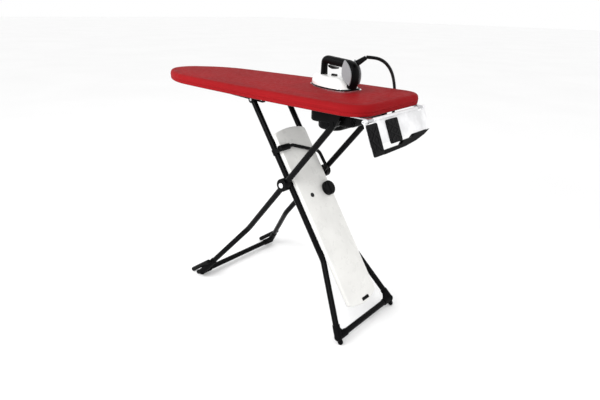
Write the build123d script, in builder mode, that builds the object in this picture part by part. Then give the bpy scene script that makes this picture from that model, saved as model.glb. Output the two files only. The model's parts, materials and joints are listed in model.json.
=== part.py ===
"""Steam ironing station: a padded board on a folding X stand, a steam generator hung
between the legs, and an iron on a steam hose.

Millimetres, +Z up, floor at z = 0. +X runs from the board's nose to its wide end, and the
part is centred over the origin in X and Y. "near" is the -Y side and "far" the +Y side.
"""
from build123d import *
import os
from math import cos, pi, radians, sin, sqrt, tan

os.makedirs("parts", exist_ok=True)

# ---- driving dimensions: board -------------------------------------------------------
board_length = 1123.0
board_half_width = 196.0
nose_radius, shoulder_radius, side_radius = 102.0, 386.0, 9000.0
side_length = 900.0          # nose to where the sides run straight
board_under = 819.0          # height of the board's underside
board_top = 855.0            # height of the ironing surface
rest_reach = 53.67           # how far the iron rest stands out past the wide end
corner_radius = 80.0         # plan corners of the wide end
cover_wall = 3.0

end_x = (board_length - rest_reach) / 2
nose_x = end_x - board_length
mid = end_x - 600.0          # the stand is set out from here, 600 mm in from the wide end

# ---- driving dimensions: stand -------------------------------------------------------
hub = Vector(mid + 231.0, 0, 508.0)      # the X's pivot
arm = 340.0                              # pivot to top pivot, the same for both frames
a_slope = 56.27                          # inner frame's angle from the floor
b_slope = 50.58                          # outer frame's angle from the floor
kink = 316.0                             # pivot to the bend where the legs splay
a_foot, b_foot = 578.6, 627.0            # pivot to foot bar
a_half, b_half = 88.0, 112.0             # half spacing of the tubes at the pivot
a_foot_half, b_foot_half = 171.0, 214.0  # half spacing of the tubes at the feet
tube_radius, tube_wall = 11.0, 1.5
bend_radius = 70.0
eye_radius, eye_width = 13.0, 22.4
a_tip, b_tip = -354.0, -364.0            # the tubes end past their top pivots
axle_radius = 5.0
pin_radius = 4.0
running = 0.05                           # radial clearance of a turning fit

# inner frame: local x runs down the leg, y is world Y, z stands out towards the user
a_down = Vector(cos(radians(a_slope)), 0, -sin(radians(a_slope)))
a_out = Vector(sin(radians(a_slope)), 0, cos(radians(a_slope)))
frame_a = Plane(origin=hub, x_dir=a_down, z_dir=a_out)
# outer frame: local x runs down the leg towards the nose end
b_down = Vector(-cos(radians(b_slope)), 0, -sin(radians(b_slope)))
b_out = Vector(sin(radians(b_slope)), 0, -cos(radians(b_slope)))
frame_b = Plane(origin=hub, x_dir=b_down, z_dir=b_out)

roller_axis = hub - a_down * arm         # top of the inner frame, runs in the rails
hinge_axis = hub - b_down * arm          # top of the outer frame, hinged to the board
rail_dir = (roller_axis - hinge_axis).normalized()
print("hub", hub, "hinge", hinge_axis, "roller", roller_axis, "rail", rail_dir)

# ---- driving dimensions: generator, in the inner frame -------------------------------
gen_half = 85.0
gen_back_half, gen_keel_half = 72.5, 33.0   # beside the legs, and at the very back
gen_top, gen_top_mid = -185.5, -197.0
gen_low, gen_low_mid = 504.5, 524.0
gen_split = 14.5             # where the front cover meets the back cover
gen_edge, gen_crown = 28.0, 34.0
gen_back = -40.0
gen_wall = 3.0
knob_x, knob_y, knob_radius = 73.5, 52.0, 28.0
lamp_x, lamp_y, lamp_radius = 75.5, -35.0, 8.5
rocker_x, rocker_y = 509.0, 5.0
rocker_length, rocker_width = 36.0, 11.0
bail_x, bail_z, bail_radius = -124.5, 42.5, 6.5
sleeve_radius = 11.5

# ---- driving dimensions: iron --------------------------------------------------------
iron_length, iron_half = 219.0, 55.0
iron_turn = 10.0             # the iron's nose points this far off the board's axis
iron_nose = Vector(mid + 217.5, 42.0, board_top + 0.3)
iron = Plane(origin=iron_nose, z_dir=(0, 0, 1),
             x_dir=(cos(radians(iron_turn)), -sin(radians(iron_turn)), 0))
relief_radius = 8.0

# ---- driving dimensions: blower and iron rest ----------------------------------------
blower_x = mid + 391.5
upper_low, lower_low = 759.0, 735.0
rest_hinge = Vector(end_x + 6.0, 0, 812.0)
rest_slope = 67.0            # the rest hangs this far below the level
rest_near, rest_far = -190.0, 168.0
rest_plane = Plane(origin=rest_hinge, x_dir=(0, 1, 0),
                   z_dir=(sin(radians(rest_slope)), 0, cos(radians(rest_slope))))
# on rest_plane local x is world Y and local y runs up the slope

# ---- driving dimensions: hose --------------------------------------------------------
hose_radius = 5.5
hose_points = [(455, 31, 967), (472, 60, 965), (481, 94, 953), (481, 131, 932),
               (472, 171, 905), (459, 210, 872), (449, 240, 828), (452, 240, 772),
               (462, 214, 738), (474, 174, 725), (485, 134, 736), (491, 114, 762)]
hose_points = [Vector(mid + x, y, z) for x, y, z in hose_points]

sides = {"near": -1, "far": 1}


def save(piece, name):
    """Label one finished sub-part and write its STEP file."""
    piece.part.label = name
    export_step(piece.part, f"parts/{name}.step")


def across(point, start_y):
    """A plane at a point of the XZ plane, looking along +Y from start_y."""
    return Plane(origin=(point.X, start_y, point.Z), x_dir=(1, 0, 0), z_dir=(0, 1, 0))


def rod_y(point, radius, start_y, end_y):
    """A round bar parallel to Y."""
    with BuildPart() as rod:
        with BuildSketch(across(point, start_y)):
            Circle(radius)
        extrude(amount=end_y - start_y)
    return rod.part


def swept(points, radius, radii, wall=0.0):
    """A bar or tube of straight runs joined by tangent arcs."""
    with BuildPart() as tube:
        with BuildLine() as path:
            FilletPolyline(*points, radius=radii)
        with BuildSketch(Plane(origin=path.line @ 0, z_dir=path.line % 0)):
            Circle(radius)
            if wall:
                Circle(radius - wall, mode=Mode.SUBTRACT)
        sweep(path=path.line)
    return tube.part


# ======================================================================================
# Board
# ======================================================================================
def board_plan(inset):
    """Plan of the board, moved in by inset: three tangent arcs a side, soft rear corners."""
    nose = Vector(nose_x + nose_radius, 0)
    side = Vector(nose_x + side_length, board_half_width - side_radius)
    # the shoulder arc touches the nose arc and the side arc from inside
    to_side, to_nose = side_radius - shoulder_radius, shoulder_radius - nose_radius
    span = nose - side
    along = (to_side ** 2 - to_nose ** 2 + span.length ** 2) / (2 * span.length)
    unit = span.normalized()
    aside = sqrt(to_side ** 2 - along ** 2)
    shoulder = side + unit * along + Vector(unit.Y, -unit.X) * aside
    joints = [nose + (nose - shoulder).normalized() * (nose_radius - inset),
              shoulder + (shoulder - side).normalized() * (shoulder_radius - inset),
              side + Vector(0, side_radius - inset)]
    back, half, corner = end_x - inset, board_half_width - inset, corner_radius - inset
    with BuildSketch() as plan:
        with BuildLine():
            bend = TangentArc((nose_x + inset, 0), joints[0], tangent=(0, 1))
            for joint in joints[1:]:
                bend = TangentArc(bend @ 1, joint, tangent=bend % 1)
            Line(bend @ 1, (back - corner, half))
            TangentArc((back - corner, half), (back, half - corner), tangent=(1, 0))
            Line((back, half - corner), (back, 0))
            mirror(about=Plane.XZ)
        make_face()
    return plan.sketch


def board_slab(inset, low, high, edge):
    """The board's plan as a slab with a rounded top edge."""
    with BuildPart() as slab:
        with BuildSketch(Plane.XY.offset(low)):
            add(board_plan(inset))
        extrude(amount=high - low)
        fillet(slab.faces().sort_by(Axis.Z)[-1].edges(), edge)
    return slab.part


plate_level = board_top - 19.0       # underside of the perforated plate
foam_level = plate_level + 1.8

with BuildPart() as board_pan:
    with BuildSketch(Plane.XY.offset(board_under)):
        add(board_plan(cover_wall + 0.6))
    extrude(amount=plate_level - board_under)
    with BuildSketch(Plane.XY.offset(board_under + 1.5)):
        add(board_plan(cover_wall + 2.1))
    extrude(amount=plate_level - board_under, mode=Mode.SUBTRACT)
    with BuildSketch(Plane.XY.offset(board_under)):
        with Locations((blower_x, 0)):
            Circle(52)
    extrude(amount=2, mode=Mode.SUBTRACT)
save(board_pan, "board_pan")

hole_pitch = 44.0
with BuildPart() as perforated_plate:
    with BuildSketch(Plane.XY.offset(plate_level)):
        add(board_plan(cover_wall + 0.6))
        with Locations((mid + 100, 0)):
            with GridLocations(hole_pitch, hole_pitch, 18, 5):
                Circle(4, mode=Mode.SUBTRACT)
    extrude(amount=1.5)
save(perforated_plate, "perforated_plate")

with BuildPart() as foam_pad:
    add(board_slab(cover_wall + 0.6, foam_level, board_top - cover_wall - 0.3, 9))
save(foam_pad, "foam_pad")

with BuildPart() as board_cover:
    add(board_slab(0, board_under - 0.5, board_top, 13))
    add(board_slab(cover_wall, board_under - 1, board_top - cover_wall, 9.5),
        mode=Mode.SUBTRACT)
save(board_cover, "board_cover")

# ---- blower under the wide end -------------------------------------------------------
upper_box = (mid + 321.0, mid + 500.0, 97.0)     # low x, high x, half width
lower_box = (mid + 343.0, mid + 440.0, 92.0)
shell_wall = 2.5


def rounded_block(box, low, high, inset, corner, edge):
    """A block with rounded upright corners and a rounded bottom edge, moved in by inset."""
    x0, x1, half = box
    with BuildPart() as block:
        with BuildSketch(Plane.XY.offset(low + inset)):
            with Locations(((x0 + x1) / 2, 0)):
                RectangleRounded(x1 - x0 - 2 * inset, 2 * (half - inset), corner - inset)
        extrude(amount=high - low)
        fillet(block.faces().sort_by(Axis.Z)[0].edges(), edge - inset)
    return block.part


def housing(box, low, high, corner, edge):
    """A rounded box, open at the top."""
    with BuildPart() as body:
        add(rounded_block(box, low, high, 0, corner, edge))
        add(rounded_block(box, low, high, shell_wall, corner, edge), mode=Mode.SUBTRACT)
    return body.part


with BuildPart() as blower_housing_upper:
    add(housing(upper_box, upper_low, board_under - 0.2, 26, 8))
    with BuildSketch(Plane.XY.offset(upper_low)):
        with Locations((blower_x, 0)):
            Circle(38)
    extrude(amount=shell_wall, mode=Mode.SUBTRACT)
save(blower_housing_upper, "blower_housing_upper")

with BuildPart() as blower_housing_lower:
    add(housing(lower_box, lower_low, upper_low - 0.2, 38, 12))
    with BuildSketch(Plane.XY.offset(lower_low)):
        with Locations((blower_x, 0)):
            with GridLocations(0, 9, 1, 9):
                SlotOverall(52, 4)
    extrude(amount=shell_wall, mode=Mode.SUBTRACT)
save(blower_housing_lower, "blower_housing_lower")

motor_low, shaft_radius = 764.5, 3.0
with BuildPart() as blower_motor:
    with BuildSketch(Plane.XY.offset(motor_low)):
        with Locations((blower_x, 0)):
            Circle(24)
    extrude(amount=34)
    fillet(blower_motor.edges().filter_by(GeomType.CIRCLE), 2)
    with BuildSketch(Plane.XY.offset(742)):
        with Locations((blower_x, 0)):
            Circle(shaft_radius)
    extrude(amount=motor_low - 742)
    with BuildSketch(Plane.XY.offset(motor_low + 34)):
        with Locations((blower_x, 0)):
            RectangleRounded(70, 20, 6)
    extrude(amount=board_under - motor_low - 34)
save(blower_motor, "blower_motor")

impeller_radius, blade_count = 34.0, 12
with BuildPart() as blower_impeller:
    with BuildSketch(Plane.XY.offset(741)):
        with Locations((blower_x, 0)):
            Circle(impeller_radius)
    extrude(amount=1.5)
    with BuildSketch(Plane.XY.offset(741)):
        with Locations((blower_x, 0)):
            Circle(8)
    extrude(amount=14)
    with BuildSketch(Plane.XY.offset(742)):
        with Locations((blower_x, 0)):
            with PolarLocations(25, blade_count):
                Rectangle(16, 1.6)
    extrude(amount=13)
    with BuildSketch(Plane.XY.offset(741)):
        with Locations((blower_x, 0)):
            Circle(shaft_radius + running)
    extrude(amount=20, mode=Mode.SUBTRACT)
save(blower_impeller, "blower_impeller")

# ---- brackets that carry the outer frame ---------------------------------------------
cheek = 2.5
with BuildPart() as hinge_brackets:
    for side in sides.values():
        low_y = side * b_half - tube_radius - 0.4 - cheek
        for start in (low_y, side * b_half + tube_radius + 0.4):
            with BuildSketch(across(hinge_axis, start)):
                with BuildLine():
                    height = board_under - hinge_axis.Z - 2.5
                    Polyline((-14, -height), (38, -height), (12, 7), (-12, 7), close=True)
                make_face()
                Circle(13)
                Circle(axle_radius + 0.02, mode=Mode.SUBTRACT)
            extrude(amount=cheek)
        with BuildSketch(Plane.XY.offset(board_under - 2.5)):
            with Locations((hinge_axis.X + 12, side * b_half)):
                Rectangle(56, 2 * (tube_radius + 0.4 + cheek))
        extrude(amount=2.5)
save(hinge_brackets, "hinge_brackets")

with BuildPart() as hinge_pins:
    for side in sides.values():
        outer = tube_radius + 0.4 + cheek
        add(rod_y(hinge_axis, axle_radius, side * b_half - outer, side * b_half + outer))
        ends = sorted((side * (b_half + outer), side * (b_half + outer + 2)))
        add(rod_y(hinge_axis, 7, *ends))
save(hinge_pins, "hinge_pins")

# ---- rails for the inner frame's rollers ---------------------------------------------
roller_radius, roller_start, roller_end = 9.0, 50.0, 63.5
rail_gap = roller_radius + 0.4
rail_wall = 1.8
rail_front, rail_back = 26.0, -272.0     # from the roller axis towards the wide end


def on_rail(start_y):
    """The plane of the rail's side view, moved to start_y."""
    return Plane(origin=(roller_axis.X, start_y, roller_axis.Z),
                 x_dir=rail_dir * -1, z_dir=(0, 1, 0))


for name, side in sides.items():
    low_y, high_y = sorted((side * 49.0, side * 64.5))
    with BuildPart() as rail:
        with BuildSketch(on_rail(low_y)):
            with Locations(((rail_front + rail_back) / 2, 0)):
                Rectangle(rail_front - rail_back, 2 * (rail_gap + rail_wall))
                Rectangle(rail_front - rail_back - 8, 2 * rail_gap, mode=Mode.SUBTRACT)
        extrude(amount=high_y - low_y)
        # hangers up to the board
        for place in (rail_front - 12, (rail_front + rail_back) / 2, rail_back + 12):
            top = roller_axis - rail_dir * place
            with BuildSketch(Plane.XY.offset(top.Z + rail_gap + 1)):
                with Locations((top.X, (low_y + high_y) / 2)):
                    Rectangle(22, high_y - low_y)
            extrude(amount=board_under - top.Z - rail_gap - 1)
    save(rail, f"slide_rail_{name}")

# ---- height latch: a sprung hook over the inner frame's top axle ----------------------
latch_axis = Vector(roller_axis.X + 60, 0, 801)
latch_half = 10.0
with BuildPart() as latch_bracket:
    with BuildSketch(Plane.XY.offset(board_under - 2)):
        with Locations((latch_axis.X, 0)):
            Rectangle(30, 2 * latch_half + 9)
    extrude(amount=2)
    for start in (-latch_half - 4.5, latch_half + 1.5):
        with BuildSketch(across(latch_axis, start)):
            with Locations((0, -9)):
                Rectangle(18, 18)
            Circle(9)
            Circle(pin_radius, mode=Mode.SUBTRACT)
        extrude(amount=3)
    add(rod_y(latch_axis, pin_radius, -latch_half - 6, latch_half + 6))
save(latch_bracket, "latch_bracket")

hook_x = -60 - axle_radius - 1.0     # nose side of the axle, from the latch axis
with BuildPart() as height_latch:
    with BuildSketch(across(latch_axis, -latch_half)):
        with BuildLine():
            # across() has local y pointing down
            Polyline((hook_x - 4, -4), (30, -4), (66, 2), (66, 6), (28, 2), (hook_x, 2),
                     (hook_x, 12), (hook_x - 4, 12), close=True)
        make_face()
        Circle(8)
        Circle(pin_radius + running, mode=Mode.SUBTRACT)
    extrude(amount=2 * latch_half)
save(height_latch, "height_latch")

# ---- iron rest at the wide end -------------------------------------------------------
rod_radius = 3.0
with BuildPart() as rest_brackets:
    for y in (rest_near + 32, rest_far - 32):
        with BuildSketch(Plane.XY.offset(board_under - 4)):
            with Locations((end_x - 28, y)):
                Rectangle(52, 26)
        extrude(amount=3.3)
        with BuildSketch(across(rest_hinge, y - 13)):
            with BuildLine():
                Polyline((-14, -3), (-14, -6.3), (-4, -6.3), (3, -5), (5, 3), (-3, 5),
                         close=True)
            make_face()
            Circle(rod_radius, mode=Mode.SUBTRACT)
        extrude(amount=26)
    add(rod_y(rest_hinge, rod_radius, rest_near - 2, rest_far + 2))
save(rest_brackets, "rest_brackets")

plate_length, plate_thick = 71.0, 2.5
with BuildPart() as rest_plate:
    with BuildSketch(rest_plane.offset(-plate_thick / 2)):
        with Locations(((rest_near + rest_far) / 2, -plate_length / 2 - 4)):
            Rectangle(rest_far - rest_near, plate_length)
    extrude(amount=plate_thick)
    for y0, y1 in ((rest_near, rest_near + 16), (rest_near + 48, rest_far - 48),
                   (rest_far - 16, rest_far)):
        with BuildSketch(across(rest_hinge, y0)):
            Circle(rod_radius + 2.5)
            Circle(rod_radius + running, mode=Mode.SUBTRACT)
        extrude(amount=y1 - y0)
    for y in (rest_near + 32, rest_far - 32):
        with BuildSketch(rest_plane.offset(-3)):
            with Locations((y, -3)):
                Rectangle(30, 14)
        extrude(amount=6, mode=Mode.SUBTRACT)
save(rest_plate, "rest_plate")

strip_thick = 4.0
for name, y0, y1, low in (("near", -186, -132, -106), ("far", -84, -18, -84)):
    with BuildPart() as strip:
        with BuildSketch(rest_plane.offset(plate_thick / 2 + 0.05)):
            with Locations(((y0 + y1) / 2, (low - 10) / 2)):
                RectangleRounded(y1 - y0, -10 - low, 6)
        extrude(amount=strip_thick)
        with BuildSketch(rest_plane.offset(plate_thick / 2 + strip_thick - 0.8)):
            with Locations(((y0 + y1) / 2, (low - 10) / 2)):
                with GridLocations((y1 - y0) / 3, 15, 3, 5):
                    Rectangle(11, 8, rotation=45)
        extrude(amount=1.6)
    save(strip, f"rest_strip_{name}")

# the heel stop: a lens-shaped bar under the plate, thicker towards the near side
with BuildPart() as rest_heel_stop:
    with BuildSketch(rest_plane.offset(-9)):
        with BuildLine():
            Polyline((-128, -94), (-30, -94), (-12, -84), (40, -84), (60, -76.5),
                     (rest_far - 4, -76.5), (120, -89), (60, -99), (-10, -105), (-128, -107),
                     close=True)
        make_face()
    extrude(amount=14)
    chamfer(rest_heel_stop.faces().sort_by(SortBy.AREA)[-1].edges(), 1.5)
    # the tongue that screws to the plate's back
    with BuildSketch(rest_plane.offset(-5)):
        with Locations((100, -70)):
            Rectangle(90, 30)
    extrude(amount=5 - plate_thick / 2 - 0.05)
save(rest_heel_stop, "rest_heel_stop")

# ======================================================================================
# Folding stand
# ======================================================================================
frames = {
    "a": dict(plane=frame_a, half=a_half, foot=a_foot, foot_half=a_foot_half, tip=a_tip),
    "b": dict(plane=frame_b, half=b_half, foot=b_foot, foot_half=b_foot_half, tip=b_tip),
}


def leg_bar(frame, side, radius, wall=0.0):
    """One leg: straight from the top pivot to the bend, then splayed out to the foot."""
    f = frames[frame]
    local = [(f["tip"], side * f["half"], 0), (kink, side * f["half"], 0),
             (f["foot"], side * f["foot_half"], 0)]
    return swept([f["plane"].from_local_coords(Vector(*p)) for p in local], radius,
                 bend_radius, wall)


def foot_point(frame):
    """Centre of a frame's foot bar in the XZ plane."""
    f = frames[frame]
    return f["plane"].from_local_coords(Vector(f["foot"], 0, 0))


top_points = {"a": roller_axis, "b": hinge_axis}
for frame, f in frames.items():
    for name, side in sides.items():
        centre = side * f["half"]
        with BuildPart() as leg:
            add(leg_bar(frame, side, tube_radius, tube_wall))
            add(rod_y(top_points[frame], eye_radius, centre - eye_width / 2,
                      centre + eye_width / 2))
            for point, radius in ((top_points[frame], axle_radius), (hub, pin_radius)):
                add(rod_y(point, radius + running, centre - 20, centre + 20),
                    mode=Mode.SUBTRACT)
        save(leg, f"{frame}_leg_{name}")

bar_radius = 11.0
cap_half, toe_radius, toe_height = 18.0, 9.5, 8.2
# toes of each foot, as X and Z from the foot bar: where they start and their tips' X
toes = {"a": (((0, -3), 9),), "b": (((45, 64), -66), ((0, -3), -30))}
sleeve_length = {"a": 44.0, "b": 88.0}


def toe(start, tip):
    """A rounded peg that ends in a small flat sole on the floor."""
    axis = tip - start
    with BuildPart() as peg:
        with BuildSketch(Plane(origin=start, z_dir=axis)):
            Circle(toe_radius)
        extrude(amount=axis.length)
        with Locations(start, tip):
            Sphere(toe_radius)
        with Locations((tip.X, tip.Y, -20)):
            Box(60, 60, 40, mode=Mode.SUBTRACT)
    return peg.part


def gusset(frame, side, reach):
    """A web that rounds the inner corner between a leg and the foot bar."""
    f = frames[frame]
    corner = Vector(f["foot"], side * f["foot_half"])
    up_leg = (Vector(kink, side * f["half"]) - corner).normalized()
    along_bar = Vector(0, -side)
    with BuildPart() as web:
        with BuildSketch(f["plane"].offset(-8)):
            with BuildLine():
                Line(corner, corner + up_leg * reach)
                ThreePointArc(corner + up_leg * reach, corner + (up_leg + along_bar) * 0.36 * reach,
                              corner + along_bar * reach)
                Line(corner + along_bar * reach, corner)
            make_face()
        extrude(amount=16)
    return web.part


for frame, f in frames.items():
    bar_end = f["foot_half"] - cap_half + 2
    with BuildPart() as foot_bar:
        add(rod_y(foot_point(frame), bar_radius, -bar_end, bar_end))
        add(rod_y(foot_point(frame), bar_radius - tube_wall, -bar_end, bar_end),
            mode=Mode.SUBTRACT)
    save(foot_bar, f"{frame}_foot_bar")
    for name, side in sides.items():
        centre = side * f["foot_half"]
        point = foot_point(frame)
        corner = f["plane"].from_local_coords(Vector(f["foot"], centre, 0))
        up_leg = f["plane"].from_local_coords(Vector(kink, side * f["half"], 0)) - corner
        ends = sorted((centre - side * 44, centre))
        with BuildPart() as cap:
            add(rod_y(point, 13.5, *ends))
            with Locations(corner):
                Sphere(14.5)
            with BuildSketch(Plane(origin=corner, z_dir=up_leg)):
                Circle(13.5)
            extrude(amount=sleeve_length[frame])
            add(gusset(frame, side, 54))
            line = centre - side * 3
            for (start_x, start_z), tip_x in toes[frame]:
                add(toe(Vector(point.X + start_x, line, point.Z + start_z),
                        Vector(point.X + tip_x, line, toe_height)))
            add(leg_bar(frame, side, tube_radius), mode=Mode.SUBTRACT)
            add(rod_y(point, bar_radius, -bar_end, bar_end), mode=Mode.SUBTRACT)
        save(cap, f"{frame}_foot_cap_{name}")

# ---- pivot ---------------------------------------------------------------------------
collar_inner, collar_outer = 75.0, 100.4
with BuildPart() as a_hub_collars:
    for side in sides.values():
        ends = sorted((side * collar_inner, side * collar_outer))
        add(rod_y(hub, 14, *ends))
    for side in sides.values():
        add(leg_bar("a", side, tube_radius), mode=Mode.SUBTRACT)
    add(rod_y(hub, pin_radius + running, -120, 120), mode=Mode.SUBTRACT)
save(a_hub_collars, "a_hub_collars")

boss_outer = b_half + tube_radius + 9
with BuildPart() as b_hub_bosses:
    for side in sides.values():
        ends = sorted((side * (b_half - 6), side * boss_outer))
        add(rod_y(hub, 24, *ends))
    fillet(b_hub_bosses.edges().filter_by(GeomType.CIRCLE).group_by(Axis.Y)[0], 3)
    fillet(b_hub_bosses.edges().filter_by(GeomType.CIRCLE).group_by(Axis.Y)[-1], 3)
    for side in sides.values():
        add(leg_bar("b", side, tube_radius), mode=Mode.SUBTRACT)
    add(rod_y(hub, pin_radius, -160, 160), mode=Mode.SUBTRACT)
save(b_hub_bosses, "b_hub_bosses")

with BuildPart() as pivot_pins:
    for side in sides.values():
        ends = sorted((side * (collar_inner + 1), side * boss_outer))
        add(rod_y(hub, pin_radius, *ends))
save(pivot_pins, "pivot_pins")

with BuildPart() as pivot_caps:
    for side in sides.values():
        ends = sorted((side * boss_outer, side * (boss_outer + 3.5)))
        add(rod_y(hub, 10, *ends))
    fillet(pivot_caps.edges().filter_by(GeomType.CIRCLE).group_by(Axis.Y)[0], 2)
    fillet(pivot_caps.edges().filter_by(GeomType.CIRCLE).group_by(Axis.Y)[-1], 2)
save(pivot_caps, "pivot_caps")

with BuildPart() as a_top_axle:
    add(rod_y(roller_axis, axle_radius, -101.0, 101.0))
save(a_top_axle, "a_top_axle")

with BuildPart() as slide_rollers:
    for side in sides.values():
        ends = sorted((side * roller_start, side * roller_end))
        add(rod_y(roller_axis, roller_radius, *ends))
    add(rod_y(roller_axis, axle_radius + running, -120, 120), mode=Mode.SUBTRACT)
save(slide_rollers, "slide_rollers")

# ======================================================================================
# Steam generator, built in the inner frame's own plane
# ======================================================================================
section = Plane(origin=frame_a.from_local_coords(Vector(gen_top_mid - 20, 0, 0)),
                x_dir=(0, 1, 0), z_dir=a_down)      # local x is Y, local y stands out


def generator_plan(half, inset, corner):
    """Plan of the generator with its gently arched ends."""
    with BuildSketch() as plan:
        with BuildLine():
            ThreePointArc((gen_top + inset, -half), (gen_top_mid + inset, 0),
                          (gen_top + inset, half))
            Line((gen_top + inset, half), (gen_low - inset, half))
            ThreePointArc((gen_low - inset, half), (gen_low_mid - inset, 0),
                          (gen_low - inset, -half))
            Line((gen_low - inset, -half), (gen_top + inset, -half))
        make_face()
        fillet(plan.vertices(), corner)
    return plan.sketch


def front_block(inset, low):
    """The crowned front: plan and cross-section cut from each other."""
    half = gen_half - inset
    with BuildPart() as block:
        with BuildSketch(frame_a):
            add(generator_plan(half, inset, 14 - inset))
        extrude(amount=60)
        with BuildSketch(section):
            with BuildLine():
                Line((-half, low), (-half, gen_edge - inset))
                ThreePointArc((-half, gen_edge - inset), (0, gen_crown - inset),
                              (half, gen_edge - inset))
                Line((half, gen_edge - inset), (half, low))
                Line((half, low), (-half, low))
            make_face()
        extrude(amount=800, mode=Mode.INTERSECT)
    return block.part


def on_front(x, y, out):
    """The plane at a place on the generator's face, looking out of it."""
    return Plane(origin=frame_a.from_local_coords(Vector(x, y, out)), x_dir=a_down,
                 z_dir=a_out)


def puck(x, y, radius, low, high):
    """A round piece on the generator's face."""
    with BuildPart() as disc:
        with BuildSketch(on_front(x, y, low)):
            Circle(radius)
        extrude(amount=high - low)
    return disc.part


def crown(y):
    """How far the front cover stands out at a distance from its middle."""
    return gen_crown - (gen_crown - gen_edge) * (y / gen_half) ** 2


neck_radius = 22.0
knob_base = crown(knob_y) + 2.0
with BuildPart() as generator_front_cover:
    add(front_block(0, gen_split))
    add(front_block(gen_wall, gen_split - 5), mode=Mode.SUBTRACT)
    fillet(generator_front_cover.edges().filter_by(
        lambda edge: (edge.center() - hub).dot(a_out) > gen_edge - 1), 5)
    add(puck(knob_x, knob_y, neck_radius + 1, 0, 60), mode=Mode.SUBTRACT)
    add(puck(lamp_x, lamp_y, lamp_radius + 0.1, 0, 60), mode=Mode.SUBTRACT)
    with BuildSketch(on_front(rocker_x, rocker_y, 0)):
        Rectangle(rocker_width + 2, rocker_length + 2)
    extrude(amount=60, mode=Mode.SUBTRACT)
save(generator_front_cover, "generator_front_cover")


def back_block(inset, high):
    """The generator's back half, which fits between the legs and narrows to the back."""
    half, keel, low = gen_back_half - inset, gen_keel_half - inset, gen_back + inset
    with BuildPart() as block:
        with BuildSketch(frame_a.offset(low)):
            add(generator_plan(half, inset + 2, 14 - inset))
        extrude(amount=high - low)
        with BuildSketch(section):
            Polygon((-keel, low), (keel, low), (half, 2), (half, high), (-half, high),
                    (-half, 2), align=None)
        extrude(amount=800, mode=Mode.INTERSECT)
    return block.part


inlet_y, inlet_out = 0.0, -14.0
inlet_end = gen_low_mid - 4.0
screw_places = [(x, y) for x in (-160, 160, 480) for y in (-22, 22)]


def inlet_block(length, width, start, depth):
    """A block set into the generator's lower end."""
    with BuildPart() as block:
        origin = frame_a.from_local_coords(Vector(start, inlet_y, inlet_out))
        with BuildSketch(Plane(origin=origin, x_dir=(0, 1, 0), z_dir=a_down)):
            RectangleRounded(length, width, 3)
        extrude(amount=depth)
    return block.part


with BuildPart() as generator_back_cover:
    add(back_block(0, gen_split - 0.3))
    fillet(generator_back_cover.edges().filter_by(
        lambda edge: (edge.center() - hub).dot(a_out) < gen_back + 1), 6)
    add(back_block(gen_wall, gen_split + 5), mode=Mode.SUBTRACT)
    add(inlet_block(32, 26, inlet_end - 20, 40), mode=Mode.SUBTRACT)
    for x, y in screw_places:
        add(puck(x, y, 2.1, gen_back - 1, gen_back + 10), mode=Mode.SUBTRACT)
save(generator_back_cover, "generator_back_cover")

with BuildPart() as mains_inlet:
    add(inlet_block(31.6, 25.6, inlet_end - 16, 17.5))
    add(inlet_block(24, 17, inlet_end - 12, 30), mode=Mode.SUBTRACT)
    with BuildSketch(Plane(origin=frame_a.from_local_coords(
            Vector(inlet_end - 12, inlet_y, inlet_out)), x_dir=(0, 1, 0), z_dir=a_down)):
        with Locations((-7, -2), (0, 2), (7, -2)):
            Rectangle(1.5, 4)
    extrude(amount=10)
save(mains_inlet, "mains_inlet")

with BuildPart() as generator_screws:
    for x, y in screw_places:
        add(puck(x, y, 3.6, gen_back - 2.2, gen_back))
        add(puck(x, y, 2.0, gen_back, gen_back + 3.8))
save(generator_screws, "generator_screws")


def drum_along(x0, x1, y, out, radius):
    """A round bar or tank lying along the generator."""
    with BuildPart() as drum:
        origin = frame_a.from_local_coords(Vector(x0, y, out))
        with BuildSketch(Plane(origin=origin, z_dir=a_down)):
            Circle(radius)
        extrude(amount=x1 - x0)
    return drum.part


with BuildPart() as boiler_tank:
    add(drum_along(190, 390, -22, 2, 24))
    fillet(boiler_tank.edges().filter_by(GeomType.CIRCLE), 10)
    add(drum_along(170, 190, -22, 2, 6))
save(boiler_tank, "boiler_tank")


def tank_body(inset):
    """The water tank's outside, moved in by inset: a keel block under a wide block."""
    with BuildPart() as body:
        for half, low, high in ((38, -29, 10), (66, 4, 22)):
            with BuildSketch(frame_a.offset(low + inset)):
                with Locations((-20, 0)):
                    RectangleRounded(300 - 2 * inset, 2 * (half - inset), 12 - inset)
            extrude(amount=high - low - 2 * inset)
    return body.part


with BuildPart() as water_tank:
    add(tank_body(0))
    add(tank_body(2.5), mode=Mode.SUBTRACT)
    # the filler mouth under the knob
    add(puck(knob_x, knob_y - 4, 12, 21, 23.8))
    add(puck(knob_x, knob_y - 4, 10, 15, 30), mode=Mode.SUBTRACT)
save(water_tank, "water_tank")

with BuildPart() as water_pump:
    add(drum_along(200, 262, 32, 4, 18))
    add(drum_along(262, 300, 32, 4, 13))
    add(drum_along(300, 322, 32, 4, 5))
save(water_pump, "water_pump")

with BuildPart() as control_board:
    with BuildSketch(frame_a.offset(-4)):
        with Locations((445, 0)):
            Rectangle(80, 60)
    extrude(amount=1.6)
    with BuildSketch(frame_a.offset(-2.4)):
        with Locations((425, -10)):
            Rectangle(26, 20)
        with Locations((460, 10)):
            Rectangle(18, 14)
    extrude(amount=12)
save(control_board, "control_board")

with BuildPart() as filler_ring:
    add(puck(knob_x, knob_y, 36, crown(knob_y + 30) - 2, knob_base))
    chamfer(filler_ring.edges().filter_by(GeomType.CIRCLE).sort_by(
        lambda edge: (edge.center() - hub).dot(a_out))[-1], 1.2)
    add(puck(knob_x, knob_y, neck_radius + 0.8, 0, 60), mode=Mode.SUBTRACT)
    add(front_block(0, 0), mode=Mode.SUBTRACT)
save(filler_ring, "filler_ring")

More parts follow.
